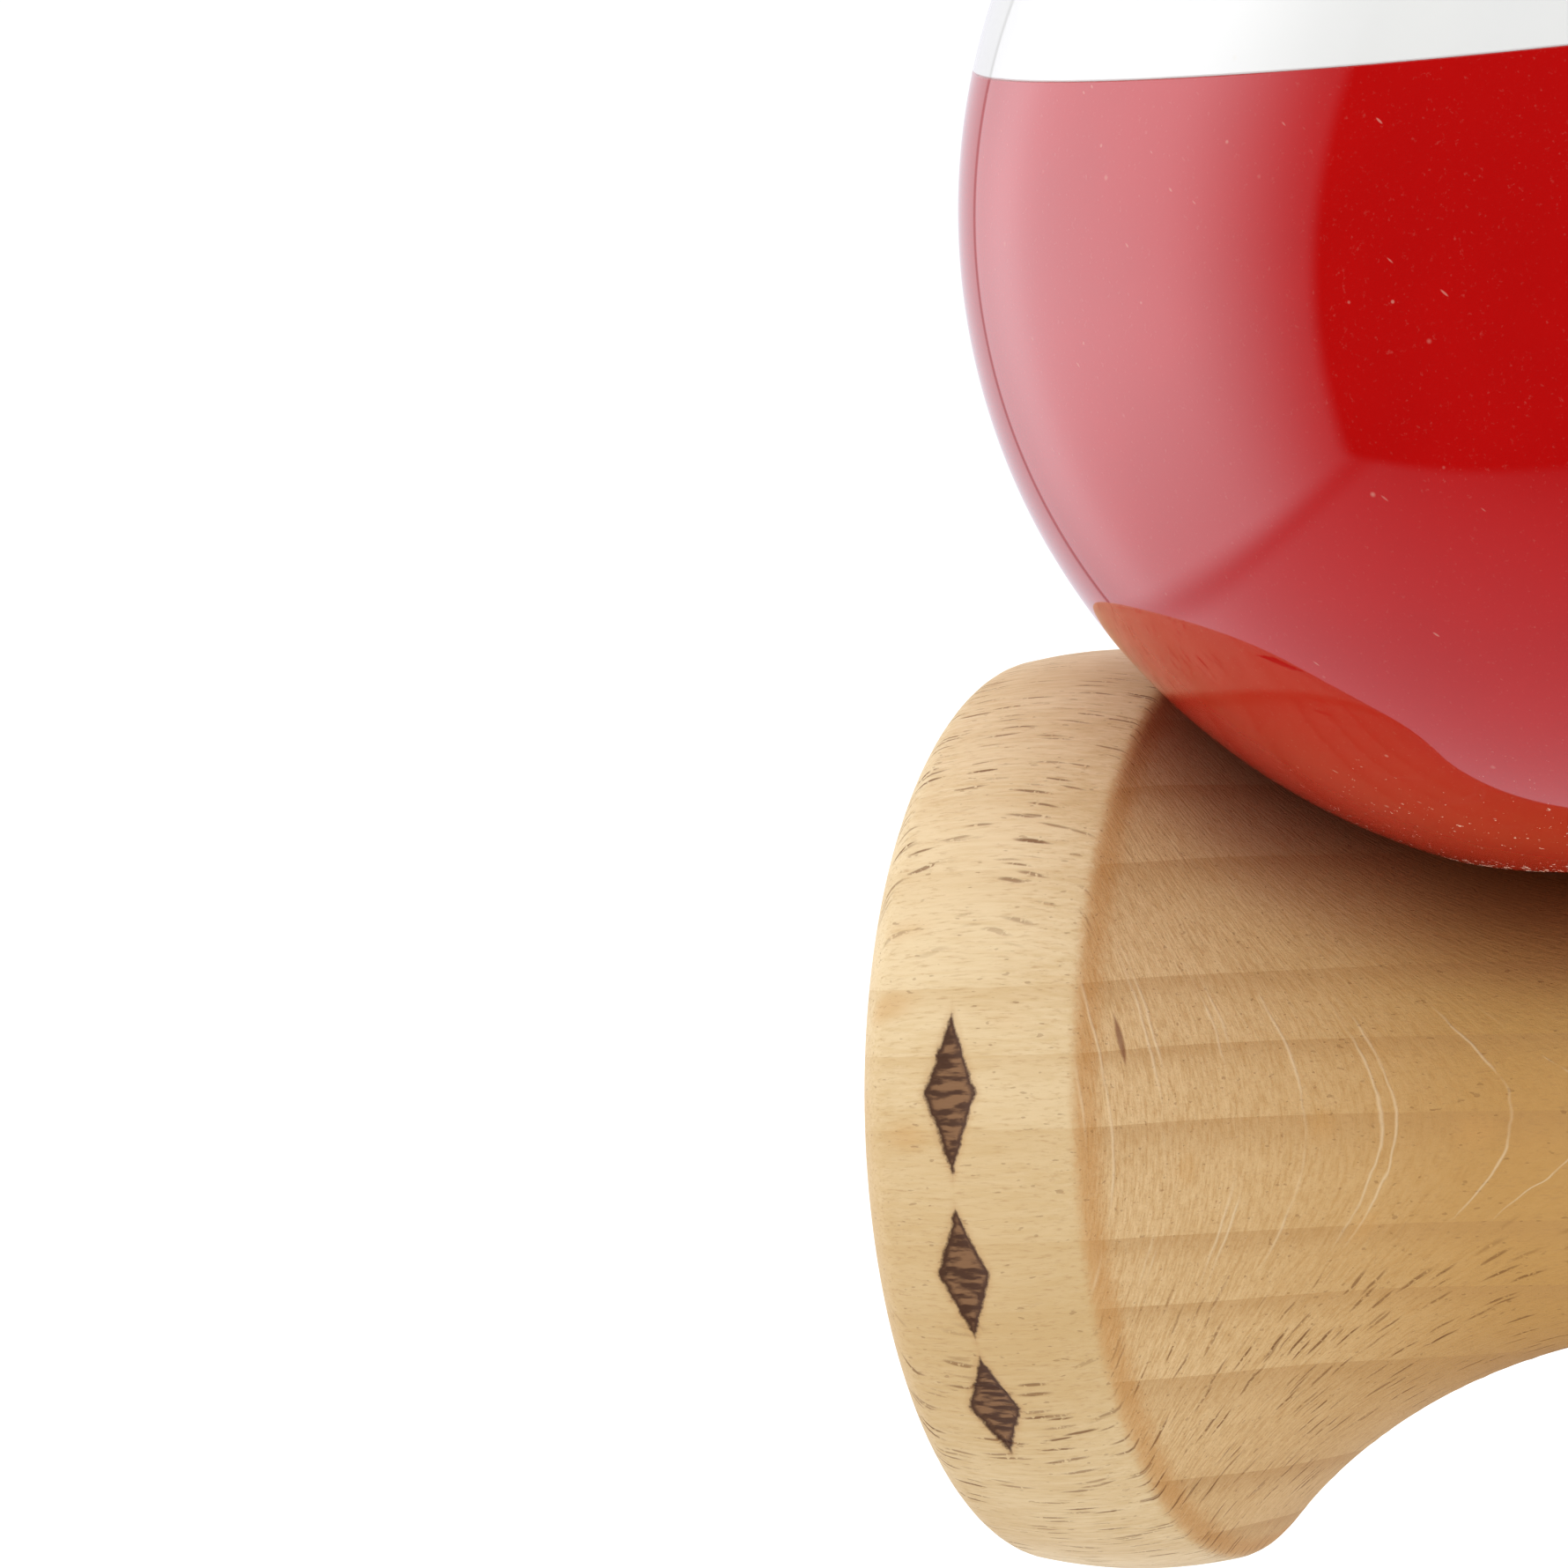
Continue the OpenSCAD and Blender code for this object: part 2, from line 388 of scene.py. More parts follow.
def burn_depth(sheet, place):
    """How far inside a burnt lozenge's edge a point is, in millimetres. It is below 0 outside them."""
    x, y, z = sheet.split(place)
    up = z / MM - cross_z
    angle = sheet.maths("ARCTAN2", up, y * (-1 / MM))
    inside = -1.0
    for middle, half_length in MARKS:
        arc = abs((angle - math.radians(middle)) * BAND_R)
        reach = 1 - (arc / half_length + abs(x / MM - MARK_X) / MARK_HALF_WIDTH)
        scale = MARK_HALF_WIDTH * half_length / math.hypot(MARK_HALF_WIDTH, half_length)
        inside = sheet.maths("MAXIMUM", reach * scale, inside)
    # The cup's inside lies below the band and has no marks
    radius = (y * y / MM ** 2 + up * up) ** 0.5
    return sheet.maths("MINIMUM", inside, radius - BAND_R + 1)


def burning_tree():
    """Presses the marks into the wood."""
    tree = bpy.data.node_groups.new("Burning", "GeometryNodeTree")
    tree.interface.new_socket("Geometry", in_out="INPUT", socket_type="NodeSocketGeometry")
    tree.interface.new_socket("Depth", in_out="INPUT", socket_type="NodeSocketFloat")
    tree.interface.new_socket("Finish", in_out="INPUT", socket_type="NodeSocketMaterial")
    tree.interface.new_socket("Geometry", in_out="OUTPUT", socket_type="NodeSocketGeometry")
    sheet = Sheet(tree)
    given = sheet.add("NodeGroupInput")
    place = sheet.add("GeometryNodeInputPosition")
    pressed = sheet.step(burn_depth(sheet, place), 0.0, 0.3) * given.out("Depth")
    normal = sheet.add("GeometryNodeInputNormal")
    offset = sheet.add("ShaderNodeVectorMath", {"operation": "SCALE"}, {0: normal, "Scale": -pressed})
    moved = sheet.add("GeometryNodeSetPosition", None, {"Geometry": given, "Offset": offset})
    real = sheet.add("GeometryNodeRealizeInstances", None, {"Geometry": moved})
    finished = sheet.add("GeometryNodeSetMaterial", None, {
        "Geometry": real, "Material": given.out("Finish")})
    sheet.add("NodeGroupOutput", None, {0: finished})
    return tree


# ---------------------------------------------------------------- materials

def new_material(name):
    material = bpy.data.materials.new(name)
    material.use_nodes = True
    material.node_tree.nodes.clear()
    sheet = Sheet(material.node_tree)
    return material, sheet, sheet.add("ShaderNodeTexCoord").out("Object")


def laid_out(sheet, place, centre, turn=(0, 0, 0)):
    """The place in millimetres from a centre, which is given in the turned axes."""
    return sheet.add("ShaderNodeMapping", None, {
        "Vector": place, "Location": tuple(-c for c in centre), "Rotation": turn, "Scale": (1 / MM,) * 3})


def close_material(sheet, inputs):
    """Ends a material with one Principled surface."""
    surface = sheet.add("ShaderNodeBsdfPrincipled", None, inputs)
    sheet.add("ShaderNodeOutputMaterial", None, {"Surface": surface})


RING_SPACING = 3.9
# Where the rings bow: a place across them, and how far apart the bows are
RING_BOW, BOW_SPACING = 6.9, 11.5
# The knock's place across the rays and across the rings
KNOCK = (-19.5, 4.2)
# The light that colours are given in: on the wood, on the lacquer and at the ball's hole
BAND_LIGHT = 1.2
LACQUER_LIGHT = 1.2
HOLE_LIGHT = 1.1


def beech(name, centre, turn, ridge_t, band_r, gold=0.35, burnt=False):
    """Bare beech with its grain along the turned piece. centre and turn bring the piece's axis to x.

    gold is how golden and dark its waist is, which on the cross-piece is painted shade from the handle and
    the ball. With burnt set, both ends have a cup, one band has its marks and the wood under the ball gets
    painted shade.
    Otherwise the only cup is at -x."""
    material, sheet, place = new_material(name)
    laid = laid_out(sheet, place, centre, turn)
    x, y, z = sheet.split(laid)
    radius = (y * y + z * z) ** 0.5
    along = abs(x) if burnt else -x

    # Growth rings lie in gently waving sheets: each darkens slowly and ends at a crisp edge
    slow = sheet.noise(sheet.joined(x * 0.02, y * 0.07, z * 0.07), 1.0, 1.0)
    level = z + y * 0.2 + (slow - 0.5) * 1.2
    wave = sheet.maths("COSINE", (level - RING_BOW) * (math.tau / BOW_SPACING)) * 0.65
    phase = sheet.maths("FRACT", (level + wave + 0.35) / RING_SPACING + 50)
    ragged = sheet.noise(sheet.joined(x * 0.35, y * 2.0, z * 2.0), 1.0, 3.0) - 0.5
    late = sheet.step(phase + ragged * 0.06, 0.35, 1.0) ** 2.2

    # Rays: thin sheets across the rings, seen end-on as short dashes where the surface follows the rings
    tangential = y - z * 0.2
    radial = z + y * 0.2
    end_on = sheet.step(abs(radial) / radius, 0.30, 0.56)
    bend = (sheet.noise(sheet.joined(x * 0.6, y, z), 0.5, 2.0) - 0.5) * 0.35
    rays = sheet.cells(sheet.joined(x * 0.32, (tangential + bend) * 5.0, radial * 0.30))
    luck, size, tone = sheet.split(rays.out("Color"))
    dash = sheet.step(rays, 0.28 + size * 0.14, 0.14) * sheet.step(luck, 0.28, 0.34) * end_on
    crumble = sheet.step(sheet.noise(laid, 4.0, 2.0), 0.32, 0.46)
    upper_hollow = sheet.step(along, ridge_t + 0.3, ridge_t - 0.5) * sheet.step(radial, -9, -3)
    dash = dash * (0.5 + tone * 0.5) * crumble * (1 - upper_hollow * 0.85)
    fleck_cells = sheet.cells(sheet.joined(x * 0.16, tangential * 0.9, radial * 0.35))
    fleck_luck, _, _ = sheet.split(fleck_cells.out("Color"))
    fleck = sheet.step(fleck_cells, 0.42, 0.10) * sheet.step(fleck_luck, 0.74, 0.82) * (1 - end_on)

    # Fibres, pores and slow changes of colour. Torn fibres lie in the rays' sheets
    fibre = sheet.noise(sheet.joined(x * 0.30, y * 4.5, z * 4.5), 1.0, 4.0, 0.6)
    fine = sheet.noise(sheet.joined(x * 1.1, y * 9.0, z * 9.0), 1.0, 3.0, 0.6)
    torn = sheet.noise(sheet.joined(x * 0.8, tangential * 11.0, radial * 1.3), 1.0, 3.0, 0.6)
    cloud = sheet.noise(sheet.joined(x * 0.06, y * 0.15, z * 0.15), 1.0, 2.0)
    fuzz = sheet.noise(laid, 3.2, 4.0, 0.75)
    pores = sheet.step(sheet.noise(sheet.joined(x * 1.6, y * 5.0, z * 5.0), 1.0, 1.0), 0.70, 0.76)

    # Pale lines where the hollow cuts the rays' sheets broadside
    sheets = sheet.add("ShaderNodeTexVoronoi", {"voronoi_dimensions": "1D"}, {
        "W": tangential + bend * 0.6 + slow, "Scale": 0.95})
    broadside = sheet.step(abs(radial) / radius, 0.46, 0.28)
    broken = sheet.step(sheet.noise(sheet.joined(x * 0.5, y * 0.2, z * 0.12), 1.0, 2.0), 0.36, 0.56)
    pale_line = sheet.step(sheets, abs(x) / ridge_t * 0.09, 0.0) * broadside * broken

    # The hollow between the cups is cut across the grain, so it is darker and its surface is furry
    cove = sheet.step(along + (fuzz - 0.5) * 0.5, ridge_t + 0.2, ridge_t - 0.4)
    dish = sheet.step(radius, band_r - 4.3, band_r - 5.3) * (1 - cove)
    across_grain = sheet.maths("MAXIMUM", cove, dish * 0.7)
    edge = sheet.step(abs(along + (fuzz - 0.5) * 0.6 - ridge_t + 0.35), 0.75, 0.1) * (1 - dish)
    # Painted shade over a golden tone: the hollow darkens towards the waist, most on the cross-piece, where
    # the handle and the ball shade it
    waist = sheet.step(along, ridge_t, ridge_t * 0.25) * cove

    band_pale = srgb(232, 209, 168, BAND_LIGHT)
    band_warm = srgb(213, 184, 136, BAND_LIGHT)
    band_late = srgb(200, 165, 112, BAND_LIGHT)
    cove_pale = srgb(228, 196, 148, BAND_LIGHT)
    cove_warm = srgb(208, 171, 120, BAND_LIGHT)
    cove_gold = srgb(190, 144, 78, BAND_LIGHT)
    cove_late = srgb(182, 138, 84, BAND_LIGHT)
    shade = sheet.step(fibre * 0.6 + cloud * 0.6, 0.42, 0.82)
    band = sheet.mix(shade, band_pale, band_warm)
    band = sheet.mix(late * (0.34 - end_on * 0.16), band, band_late)
    # Painted shade: the band turns darker and more golden on its lower half, where less light falls
    lower_band_shade = sheet.step(radial, 10, -8) * sheet.step(radial, -22, -9)
    band = sheet.mix(lower_band_shade * 0.6, band, band_late)
    hollow = sheet.mix(sheet.step(torn * 0.8 + fuzz * 0.3 + cloud * 0.3, 0.50, 0.90), cove_pale, cove_warm)
    # The waist's darker golden tone, partly painted shade
    hollow = sheet.mix(waist * gold, hollow, cove_gold)
    hollow = sheet.mix(late * 0.46, hollow, cove_late)
    hollow = sheet.mix(sheet.step(torn, 0.52, 0.78) * 0.35, hollow, cove_late)
    colour = sheet.mix(across_grain, band, hollow)
    colour = sheet.mix(edge * 0.48, colour, srgb(194, 136, 68, BAND_LIGHT))
    colour = sheet.mix(fleck * 0.40, colour, srgb(205, 156, 92, BAND_LIGHT))
    colour = sheet.mix(sheet.step(fine, 0.50, 0.78) * 0.42, colour, srgb(168, 126, 80, BAND_LIGHT))
    colour = sheet.mix(pores * 0.35, colour, srgb(130, 88, 48, BAND_LIGHT))
    colour = sheet.mix(dash * 0.85, colour, srgb(118, 74, 36, BAND_LIGHT))
    colour = sheet.mix(pale_line * cove * 0.50, colour, srgb(238, 214, 176, BAND_LIGHT))

    relief = fibre * 0.35 + fine * 0.3 - dash * 0.9 - pores * 0.5 + pale_line * cove * 0.5
    relief = relief + across_grain * (fuzz * 0.9 - torn * 0.8)
    rough = 0.56 + across_grain * 0.16 + dash * 0.1 + (fine - 0.5) * 0.1
    if burnt:
        # Painted shade: the wood under the ball is darkened and reddened as if the ball shaded it and threw
        # red light on it. One knock has left a dark streak
        reach = tuple(c - m for c, m in zip(ball_centre, centre))
        away = ((x - reach[0]) ** 2 + (y - reach[1]) ** 2 + (z - reach[2]) ** 2) ** 0.5
        # Painted contact shadow with red light from the ball: strongest half a millimetre from the ball's
        # surface, gone 7 mm away
        painted_contact_shade = sheet.step(away + (cloud - 0.5) * 2, BALL_R + 7.0, BALL_R + 0.5)
        colour = sheet.mix(painted_contact_shade * cove * 0.75, colour, srgb(132, 34, 16, BAND_LIGHT))
        knock = abs(tangential - KNOCK[0]) + (radial - KNOCK[1]) ** 2 * 0.09 + (fuzz - 0.5) * 0.1
        knock = sheet.step(knock, 0.17, 0.05) * sheet.step(x, -15, -16)
        colour = sheet.mix(knock * 0.7, colour, srgb(120, 66, 44, BAND_LIGHT))

        inside = burn_depth(sheet, place) + (sheet.noise(laid, 2.2, 4.0, 0.65) - 0.5) * 0.42
        streak = sheet.noise(sheet.joined(x * 0.7, y * 3.0, z * 3.0), 1.0, 3.0)
        scorch = sheet.step(inside, -0.35, 0.10)
        char = sheet.step(inside, -0.05, 0.14)
        worn = sheet.step(streak, 0.40, 0.58) * sheet.step(inside, 0.12, 0.40)
        burn = sheet.mix(worn, srgb(66, 32, 18, BAND_LIGHT), srgb(132, 94, 64, BAND_LIGHT))
        colour = sheet.mix(scorch * 0.30, colour, srgb(176, 124, 70, BAND_LIGHT))
        colour = sheet.mix(char * 0.95, colour, burn)
        relief = relief - char * 0.8
    bump = sheet.add("ShaderNodeBump", None, {"Strength": 0.5, "Distance": 0.00012, "Height": relief})
    close_material(sheet, {
        "Base Color": colour, "Roughness": rough, "Specular IOR Level": 0.2, "Normal": bump})
    return material


def raw_beech(name, centre):
    """Unsanded beech with its grain up, inside the ball and on the bead."""
    material, sheet, place = new_material(name)
    laid = laid_out(sheet, place, centre)
    x, y, z = sheet.split(laid)
    ring = sheet.maths("FRACT", (x + y * 0.3 + sheet.noise(laid, 0.08) * 3.0) / 2.6 + 40)
    late = sheet.step(ring, 0.4, 1.0) ** 2.0
    fibre = sheet.noise(sheet.joined(x * 4.0, y * 4.0, z * 0.35), 1.0, 4.0, 0.6)
    rays = sheet.cells(sheet.joined(x * 0.5, y * 3.2, z * 0.5))
    dash = sheet.step(rays, 0.26, 0.10)
    fuzz = sheet.noise(laid, 3.5, 4.0, 0.7)
    colour = sheet.mix(late * 0.7, srgb(214, 174, 124, HOLE_LIGHT), srgb(178, 128, 80, HOLE_LIGHT))
    colour = sheet.mix(sheet.step(fibre, 0.45, 0.75) * 0.4, colour, srgb(150, 100, 58, HOLE_LIGHT))
    colour = sheet.mix(dash * 0.6, colour, srgb(116, 72, 38, HOLE_LIGHT))
    bump = sheet.add("ShaderNodeBump", None, {
        "Strength": 0.5, "Distance": 0.00015, "Height": fibre + fuzz * 0.8 - dash * 0.8})
    close_material(sheet, {"Base Color": colour, "Roughness": 0.68 + (fuzz - 0.5) * 0.2, "Normal": bump})
    return material


def lacquer(name, main, deep, chip_colour, wear):
    """Glossy lacquer over beech: dust under the coat, short scratches, and chips round the ball's mouth."""
    material, sheet, place = new_material(name)
    laid = laid_out(sheet, place, ball_centre)
    x, y, z = sheet.split(laid)
    speck_cells = sheet.cells(sheet.joined(x * 0.6, y * 0.6, z * 0.6))
    luck, size, _ = sheet.split(speck_cells.out("Color"))
    speck = sheet.step(speck_cells, 0.06 + size * 0.05, 0.02) * sheet.step(luck, 0.55, 0.60)
    scratch_cells = sheet.cells(sheet.joined((x + z) * 1.5, y * 1.5, (z - x) * 0.35))
    scratch_luck, _, _ = sheet.split(scratch_cells.out("Color"))
    scratch = sheet.step(scratch_cells, 0.13, 0.06) * sheet.step(scratch_luck, 0.88, 0.90)
    dust = sheet.step(sheet.noise(laid, 5.0, 2.0, 0.7), 0.60, 0.80)
    mark = sheet.maths("MAXIMUM", speck * 0.6, scratch * 0.6)

    # Chips gather low on the ball and at the mouth of its hole, where the spike and the cups knock it
    low = sheet.step(z, -BALL_R * 0.60, -BALL_R * 0.86)
    rim = sheet.step(z, -BALL_R * 0.88, -BALL_R * 0.91)
    chip_noise = sheet.noise(laid, 3.0, 3.0, 0.75)
    chip = sheet.step(chip_noise + low * 0.04 + rim * 0.09, 0.70, 0.72) * low * wear

    tone = sheet.noise(laid, 0.12, 3.0)
    colour = sheet.mix(sheet.step(tone, 0.35, 0.7), main, deep)
    colour = sheet.mix(mark * 0.42 + dust * 0.05, colour, chip_colour)
    colour = sheet.mix(chip, colour, chip_colour)
    ripple = sheet.noise(laid, 0.35, 2.0) * 0.6 + sheet.noise(laid, 2.2, 2.0) * 0.02
    bump = sheet.add("ShaderNodeBump", None, {
        "Strength": 0.08, "Distance": 0.0001, "Height": ripple + mark * 0.5 - chip * 4.0})
    close_material(sheet, {
        "Base Color": colour, "Roughness": 0.5 + chip * 0.3, "Specular IOR Level": 0.0,
        "Coat Weight": 1 - sheet.maths("MAXIMUM", chip * 0.9, mark * 0.3), "Coat Roughness": 0.035,
        "Coat IOR": 1.5, "Normal": bump})
    return material


# ---------------------------------------------------------------- camera

# The camera's direction and roll in degrees, its distance, and how far it aims beside the ball's centre
VIEW_AZIMUTH, VIEW_ELEVATION, VIEW_ROLL = 24.474, 10.226, -6.966
VIEW_DISTANCE = 260
BALL_RIGHT_OF_VIEW, BALL_ABOVE_VIEW = 37.73, 25.53


def view_axes():
    """The camera's right, up and back."""
    azimuth, elevation, roll = (math.radians(a) for a in (VIEW_AZIMUTH, VIEW_ELEVATION, VIEW_ROLL))
    level = math.cos(elevation)
    back = Vector((math.sin(azimuth) * level, -math.cos(azimuth) * level, math.sin(elevation)))
    flat = Vector((math.cos(azimuth), math.sin(azimuth), 0))
    right = flat * math.cos(roll) + back.cross(flat) * math.sin(roll)
    return right, back.cross(right), back


def make_camera():
    right, up, back = view_axes()
    data = bpy.data.cameras.new("camera")
    data.sensor_width = 36
    data.lens = 134.49
    data.clip_start = 0.01
    data.clip_end = 20
    camera = bpy.data.objects.new("camera", data)
    aim = ball_centre - right * BALL_RIGHT_OF_VIEW - up * BALL_ABOVE_VIEW
    place = (aim + back * VIEW_DISTANCE) * MM
    turn = Matrix((right, up, back)).transposed().to_4x4()
    camera.matrix_world = Matrix.Translation(place) @ turn
    bpy.context.scene.collection.objects.link(camera)
    bpy.context.scene.camera = camera


# ---------------------------------------------------------------- studio

SOFT_LIGHT, TOP_LIGHT = 0.94, 1.72
FLOOR_HALF = 900
# The tent as the ball's middle sees it: the opening's half-width and foot, and how its sides bow and lean
OPENING_HALF, OPENING_FOOT = 0.628, 0.715
OPENING_BOW, OPENING_LEAN = 0.36, 0.08
# Where the side walls meet the floor, how that line slants, and its width and darkness
WALL_FOOT, FOOT_SLANT = 1.384, 0.189
CORNER_WIDTH, CORNER_SHADE = 0.16, 0.42
# The angle of the side walls' far seams from the front
SEAM_ANGLE = 157.2
# Brightness of the side wall at its front edge, middle and back, and how far it fades towards the seam
WALL_FRONT, WALL_MIDDLE, WALL_BACK, WALL_FADE = 0.45, 4.1, 2.7, 1.35


def tent_seen(sheet, direction):
    """What the lacquer mirrors: bright side walls, a pale floor, a dim backdrop and a dark opening."""
    azimuth = math.radians(VIEW_AZIMUTH)
    x, y, z = sheet.split(direction)
    towards = x * math.sin(azimuth) - y * math.cos(azimuth)
    aside = abs(x * math.cos(azimuth) + y * math.sin(azimuth))
    angle = sheet.maths("ARCTAN2", aside, towards) * (180 / math.pi)
    down = -z
    wall = sheet.step(angle, 58, 96, WALL_FRONT, WALL_MIDDLE)
    wall = wall - sheet.step(angle, 98, 138) * (WALL_MIDDLE - WALL_BACK)
    wall = (wall - sheet.step(angle, 134, SEAM_ANGLE) * WALL_FADE) * sheet.step(z, -0.75, -0.05, 0.55, 1.0)
    inward = down * WALL_FOOT + y * FOOT_SLANT - abs(x)
    on_floor = sheet.step(inward, -0.04, 0.04)
    floor = 0.97 - sheet.maths("MAXIMUM", sheet.maths("MINIMUM", towards / down, 1.3), -1.5) * 0.62
    corner = sheet.step(abs(inward) / down, CORNER_WIDTH, 0.0) * sheet.step(down, 0.25, 0.5)
    light = (wall * (1 - on_floor) + floor * on_floor) * (1 - corner * CORNER_SHADE)
    seam = sheet.step(abs(angle - SEAM_ANGLE), 1.3, 0.3)
    backdrop = sheet.step(angle, SEAM_ANGLE, SEAM_ANGLE + 0.8) * sheet.step(down, 0.75, 0.45)
    light = light * (1 - backdrop) + backdrop * 0.98
    light = light * (1 - seam * 0.6 * sheet.step(down, 0.75, 0.45))
    beside = abs(x) - OPENING_HALF + z * z * OPENING_BOW + z * OPENING_LEAN
    opening = sheet.step(beside, 0.02, -0.03) * sheet.step(y, 0.0, -0.1)
    opening = opening * sheet.step(-y * OPENING_FOOT - down, -0.02, 0.03)
    return light * (1 - opening) + opening * 0.01


def make_world():
    """Even soft light for the wood, the tent for reflections, and plain white behind the toy."""
    world = bpy.data.worlds.new("tent")
    bpy.context.scene.world = world
    world.use_nodes = True
    world.node_tree.nodes.clear()
    sheet = Sheet(world.node_tree)
    direction = sheet.add("ShaderNodeTexCoord").out("Generated")
    ray = sheet.add("ShaderNodeLightPath")
    height = sheet.split(direction)[2]
    even = sheet.add("ShaderNodeBackground", None, {
        "Color": (1.0, 0.995, 0.985, 1.0),
        "Strength": sheet.step(height, -0.1, 0.8, SOFT_LIGHT, TOP_LIGHT)})
    tent = sheet.add("ShaderNodeBackground", None, {
        "Color": (0.96, 0.95, 1.03, 1.0), "Strength": tent_seen(sheet, direction)})
    plain = sheet.add("ShaderNodeBackground", None, {"Color": (1.0, 1.0, 1.0, 1.0), "Strength": 1.05})
    mirrored = sheet.add("ShaderNodeMixShader", None, {0: ray.out("Is Glossy Ray"), 1: even, 2: tent})
    mixed = sheet.add("ShaderNodeMixShader", None, {0: ray, 1: mirrored, 2: plain})
    sheet.add("ShaderNodeOutputWorld", None, {"Surface": mixed})


def make_floor():
    """A pale floor. Reflections take the tent's floor instead."""
    half = FLOOR_HALF * MM
    corners = [(-half, -half, 0), (half, -half, 0), (half, half, 0), (-half, half, 0)]
    mesh = bpy.data.meshes.new("floor")
    mesh.from_pydata(corners, [], [(0, 1, 2, 3)])
    material = bpy.data.materials.new("floor")
    material.use_nodes = True
    surface = material.node_tree.nodes["Principled BSDF"].inputs
    surface["Base Color"].default_value = (0.82, 0.82, 0.82, 1.0)
    surface["Roughness"].default_value = 0.9
    surface["Specular IOR Level"].default_value = 0.0
    mesh.materials.append(material)
    floor = bpy.data.objects.new("floor", mesh)
    floor.visible_glossy = False
    bpy.context.scene.collection.objects.link(floor)


# ---------------------------------------------------------------- the toy

make_camera()
make_world()
make_floor()
bpy.context.scene.view_settings.view_transform = "Standard"
TURNING = turning_tree()
BURNING = burning_tree()

cross_beech = beech("cross beech", (0, 0, cross_z), (0, 0, 0), CROSS_RIDGE_T, BAND_R, gold=0.9, burnt=True)
handle_beech = beech("handle beech", (GRIP_WAIST_Z, 0, 0), (0, math.pi / 2, 0), GRIP_RIDGE_T, BASE_BAND_R)
ball_beech = raw_beech("ball beech", ball_centre)
chip_wood = srgb(232, 196, 178, HOLE_LIGHT)
red, deep_red = srgb(180, 12, 11, LACQUER_LIGHT), srgb(175, 11, 10, LACQUER_LIGHT)
white, deep_white, scratch_white = (0.635, 0.64, 0.635, 1), (0.62, 0.625, 0.625, 1), (0.6, 0.56, 0.5, 1)
red_lacquer = lacquer("red lacquer", red, deep_red, chip_wood, 1.0)
white_lacquer = lacquer("white lacquer", white, deep_white, scratch_white, 0.0)


def make_cross_piece():
    """The cross-piece, turned round X, with the handle's tapered hole and the cord's hole."""
    big = cup_outline(CROSS_WAIST_R, BIG_RIDGE_R, CROSS_RIDGE_T, cross_end, BIG_ROUND, BIG_DEPTH)
    small = cup_outline(CROSS_WAIST_R, SMALL_RIDGE_R, CROSS_RIDGE_T, cross_end, SMALL_ROUND, SMALL_DEPTH)
    outline = softened([(r, -t) for r, t in reversed(small)] + big[1:], 1.0)
    chance = random.Random(4)
    big_ridges = (22.4, 20.2, 17.7, 17.0, 15.3, 12.9, 11.7, 10.6, 9.2)
    small_ridges = (21.5, 19.1, 18.3, 15.9, 14.0, 12.2)
    ridges = [(t, chance.uniform(0.6, 1.0)) for t in big_ridges]
    ridges += [(-t, chance.uniform(0.4, 1.0)) for t in small_ridges]
    place = Matrix.Translation((0, 0, cross_z * MM)) @ Matrix.Rotation(-math.pi / 2, 4, "Y")
    piece = turned_piece("cross_piece_turned", outline, place, cross_beech, steps=256, ridges=ridges,
                         ridge_height=0.025, gather=(0.5, math.pi / 2), wander=0.03)
    grown(piece, BURNING, depth=BURN_DEPTH * MM, finish=cross_beech)
    cut(piece, taper_cutter(cross_beech))
    cut(piece, cord_cutter(0, cross_beech))
    return piece


def taper_cutter(finish):
    """The handle's tapered hole, a hair wider than the handle."""
    slope = (SPIKE_ROOT_R - TAPER_LOW_R) / (taper_high_z - taper_low_z)
    low, high = cross_z - TAPER_CUT, cross_z + TAPER_CUT
    side = [(TAPER_LOW_R + slope * (z - taper_low_z) + TAPER_EASE, z) for z in (low, high)]
    return turned_piece("cutter", [(0, low)] + side + [(0, high)], Matrix(), finish, steps=96)


def cord_cutter(behind, finish):
    """The cord's hole, eased where it comes out at the cross-piece's front."""
    ease_t = CROSS_WAIST_R - HOLE_EASE - 0.1
    outside = CROSS_WAIST_R + 1
    outline = [(0, -behind), (CORD_HOLE_R, -behind), (CORD_HOLE_R, ease_t)]
    outline += [(CORD_HOLE_R + HOLE_EASE * (1 - math.cos(a)), ease_t + HOLE_EASE * math.sin(a))
                for a in spread(0, math.pi / 2, 0.3)[1:]]
    outline += [(CORD_HOLE_R + HOLE_EASE, outside), (0, outside)]
    place = Matrix.Translation((0, 0, cross_z * MM)) @ Matrix.Rotation(math.pi / 2, 4, "X")
    return turned_piece("cutter", outline, place, finish, steps=48)


